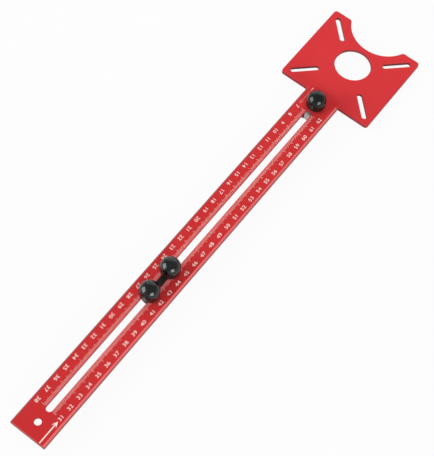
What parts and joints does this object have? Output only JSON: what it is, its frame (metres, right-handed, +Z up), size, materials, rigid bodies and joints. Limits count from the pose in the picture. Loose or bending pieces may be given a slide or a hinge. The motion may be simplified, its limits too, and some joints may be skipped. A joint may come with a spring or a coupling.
{
  "type": "router circle cutting jig",
  "caption": "Router circle cutting jig: a square notched base plate on a slotted ruler bar, with a knob-locked slider along the bar that carries a pivot pin.",
  "frame": {"origin": "centre of the cutter hole on the underside of the base plate", "axes": "+X along the ruler bar away from the base plate, +Z up along the cutter axis"},
  "size_m": [0.4342, 0.0836, 0.0275],
  "materials": {
    "red_plate": "satin red anodised sheet",
    "red_bar": "satin red anodised bar",
    "white_print": "white printed scale",
    "zinc_steel": "zinc-plated steel",
    "bright_steel": "bright steel",
    "black_knob": "polished black moulded plastic",
    "black_shoe": "black moulded nylon",
    "brass_insert": "turned brass"
  },
  "bodies": {
    "plate_and_bar": {"base_plate": "red_plate", "ruler_bar": "red_bar", "locating_key": "zinc_steel", "plate_screw": "bright_steel", "plate_washer": "zinc_steel"},
    "plate_knob": {"plate_knob": "black_knob", "plate_knob_insert": "brass_insert"},
    "slider": {"slider_shoe": "black_shoe", "pivot_pin": "bright_steel", "near_screw": "bright_steel", "near_washer": "zinc_steel", "far_screw": "bright_steel", "far_washer": "zinc_steel"},
    "near_knob": {"near_knob": "black_knob", "near_knob_insert": "brass_insert"},
    "far_knob": {"far_knob": "black_knob", "far_knob_insert": "brass_insert"}
  },
  "joints": [
    {"name": "slider_slide", "type": "slide", "parent": "plate_and_bar", "child": "slider", "axis": [1, 0, 0], "range_m": [-0.168, 0.1075]},
    {"name": "plate_knob_turn", "type": "hinge", "parent": "plate_and_bar", "child": "plate_knob", "pos_m": [0.055, 0, 0.0095], "axis": [0, 0, 1], "range_deg": [0, 360]},
    {"name": "near_knob_turn", "type": "hinge", "parent": "slider", "child": "near_knob", "pos_m": [0.241, 0, 0.0095], "axis": [0, 0, 1], "range_deg": [0, 360]},
    {"name": "far_knob_turn", "type": "hinge", "parent": "slider", "child": "far_knob", "pos_m": [0.265, 0, 0.0095], "axis": [0, 0, 1], "range_deg": [0, 360]}
  ]
}
